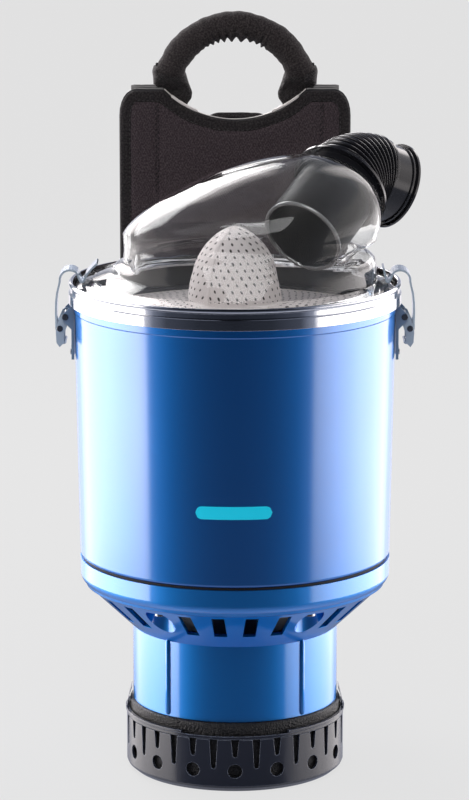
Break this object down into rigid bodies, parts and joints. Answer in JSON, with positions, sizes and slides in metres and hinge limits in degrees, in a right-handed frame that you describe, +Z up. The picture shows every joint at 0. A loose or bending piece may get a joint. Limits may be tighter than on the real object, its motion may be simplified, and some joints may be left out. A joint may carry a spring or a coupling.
{
  "type": "backpack vacuum cleaner",
  "caption": "Backpack vacuum cleaner: blue canister on a slotted base, clear domed lid with a swivel hose inlet, spring latches, cone filter and padded harness.",
  "frame": {"origin": "centre of the base's underside", "axes": "+Z up, the harness and the wearer are towards +Y, the hose inlet leans towards +X"},
  "size_m": [0.3307, 0.4174, 0.676],
  "materials": {
    "base_black": "fine texture",
    "foam": "open cell foam",
    "blue_moulding": "glossy",
    "canister_blue": "pearl gloss",
    "steel_screw": "satin",
    "cast_alloy": "cast",
    "winding": "varnished copper",
    "brass_part": "satin",
    "fan_alloy": "satin",
    "black_rubber": "matt",
    "rim_metal": "bright rolled",
    "clear_lid": "clear",
    "hose_black": "satin gloss",
    "hose_rib": "satin",
    "filter_cloth": "perforated cloth",
    "latch_plate": "satin",
    "latch_steel": "polished",
    "board_black": "fine texture",
    "panel_fabric": "woven",
    "plate_grey": "satin",
    "pad_mesh": "spacer mesh",
    "strap_fabric": "woven",
    "webbing": "webbing",
    "buckle_black": "satin",
    "sleeve_fabric": "woven",
    "switch_red": "glossy"
  },
  "bodies": {
    "machine": {"base_cap": "base_black", "exhaust_filter": "foam", "base_retainer": "base_black", "motor_housing": "blue_moulding", "housing_screws": "steel_screw", "motor_frame": "cast_alloy", "motor_stator": "winding", "brush_holders": "brass_part", "motor_bearings": "steel_screw", "fan_case": "cast_alloy", "motor_mount": "black_rubber", "motor_gasket": "black_rubber", "canister_seal": "black_rubber", "motor_grille": "base_black", "canister": "canister_blue", "rim_ring": "rim_metal", "filter_ring": "black_rubber", "filter_cone": "filter_cloth", "filter_frame": "base_black", "latch_base_left": "latch_plate", "latch_base_right": "latch_plate", "lever_pins": "latch_steel", "latch_rivets": "latch_steel", "harness_board": "board_black", "harness_brackets": "board_black", "harness_bolts": "steel_screw", "front_panel": "panel_fabric", "corner_plates": "plate_grey", "back_pad": "pad_mesh", "lumbar_pad": "pad_mesh", "shoulder_strap_left": "strap_fabric", "shoulder_strap_right": "strap_fabric", "strap_webbing_left": "webbing", "strap_webbing_right": "webbing", "strap_adjusters": "base_black", "belt_wing_left": "strap_fabric", "belt_wing_right": "strap_fabric", "belt_buckle": "buckle_black", "handle_sleeve": "sleeve_fabric", "handle_tabs": "webbing", "cable_gland": "base_black", "switch_bezel": "base_black"},
    "lid": {"lid_flange": "clear_lid", "lid_skirt": "clear_lid", "dome_lid": "clear_lid", "inlet_socket": "hose_black", "lid_gasket": "black_rubber"},
    "cuff": {"inlet_tube": "hose_black", "hose_cuff": "hose_rib", "hose_collar": "hose_black"},
    "rotor": {"rotor_shaft": "steel_screw", "armature": "winding", "impeller": "fan_alloy"},
    "rocker": {"switch_rocker": "switch_red"},
    "lever_left": {"latch_lever_left": "latch_steel", "claw_pin_left": "latch_steel"},
    "lever_right": {"latch_lever_right": "latch_steel", "claw_pin_right": "latch_steel"},
    "claw_left": {"latch_claw_left": "latch_steel"},
    "claw_right": {"latch_claw_right": "latch_steel"}
  },
  "joints": [
    {"name": "lid_lift", "type": "slide", "parent": "machine", "child": "lid", "axis": [0, 0, 1], "range_m": [0, 0.036]},
    {"name": "inlet_swivel", "type": "hinge", "parent": "lid", "child": "cuff", "pos_m": [0.0945, 0.028, 0.5306], "axis": [0.4673, 0.7363, 0.4894], "continuous": true},
    {"name": "lever_left_open", "type": "hinge", "parent": "machine", "child": "lever_left", "pos_m": [-0.1525, 0, 0.42], "axis": [0, 1, 0], "range_deg": [0, 46]},
    {"name": "lever_right_open", "type": "hinge", "parent": "machine", "child": "lever_right", "pos_m": [0.1525, 0, 0.42], "axis": [0, -1, 0], "range_deg": [0, 46]},
    {"name": "claw_left_release", "type": "hinge", "parent": "lever_left", "child": "claw_left", "pos_m": [-0.1575, 0, 0.409], "axis": [0, -1, 0], "range_deg": [0, 106]},
    {"name": "claw_right_release", "type": "hinge", "parent": "lever_right", "child": "claw_right", "pos_m": [0.1575, 0, 0.409], "axis": [0, 1, 0], "range_deg": [0, 106]},
    {"name": "motor_spin", "type": "hinge", "parent": "machine", "child": "rotor", "pos_m": [0, 0, 0.14], "axis": [0, 0, 1], "continuous": true},
    {"name": "switch_rock", "type": "hinge", "parent": "machine", "child": "rocker", "pos_m": [0.04849, 0.0776, 0.104], "axis": [0.848, -0.5299, 0], "range_deg": [0, 18]}
  ],
  "couplings": [
    {"joint": "lever_left_open", "follows": "lid_lift", "rad_per_m": 21.817},
    {"joint": "lever_right_open", "follows": "lid_lift", "rad_per_m": 21.817},
    {"joint": "claw_left_release", "follows": "lid_lift", "rad_per_m": 50.905},
    {"joint": "claw_right_release", "follows": "lid_lift", "rad_per_m": 50.905}
  ]
}
